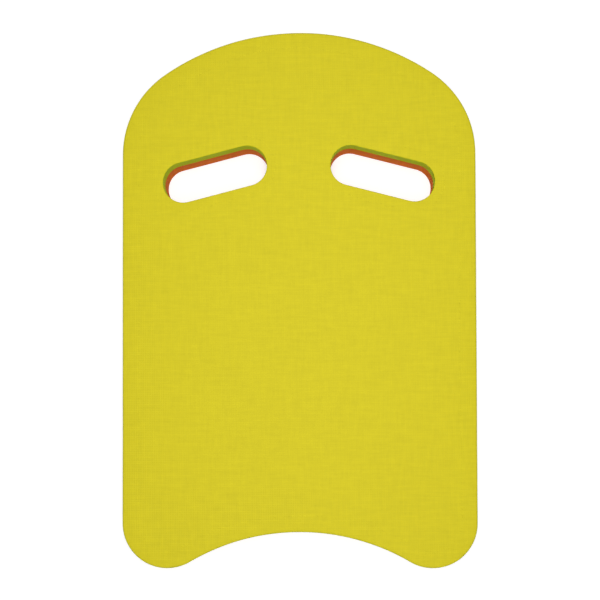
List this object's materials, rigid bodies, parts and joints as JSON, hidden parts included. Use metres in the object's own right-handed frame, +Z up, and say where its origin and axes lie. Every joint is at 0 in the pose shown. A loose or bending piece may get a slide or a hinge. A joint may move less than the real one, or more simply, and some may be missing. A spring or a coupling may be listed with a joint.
{
  "type": "swimming kickboard",
  "caption": "Flat foam swimming kickboard of bonded yellow and orange sheets, with a rounded nose, an arched tail and slanted hand slots through its thickness.",
  "frame": {"origin": "centre of the underside, under the middle of the board's box, on the surface that the board lies on", "axes": "+Z up from the orange underside to the yellow deck, +Y along the board from the tail to the nose, +X to the right seen from above with the nose away"},
  "size_m": [0.297, 0.45, 0.0353],
  "materials": {
    "yellow_foam": "matte closed-cell foam, linen-embossed face, plain cut edges",
    "glue": "dry, slightly cloudy contact glue",
    "orange_foam": "matte closed-cell foam, linen-embossed face, plain cut edges"
  },
  "bodies": {
    "root": {"top_sheet": "yellow_foam", "glue_film": "glue", "bottom_sheet": "orange_foam"}
  },
  "joints": []
}
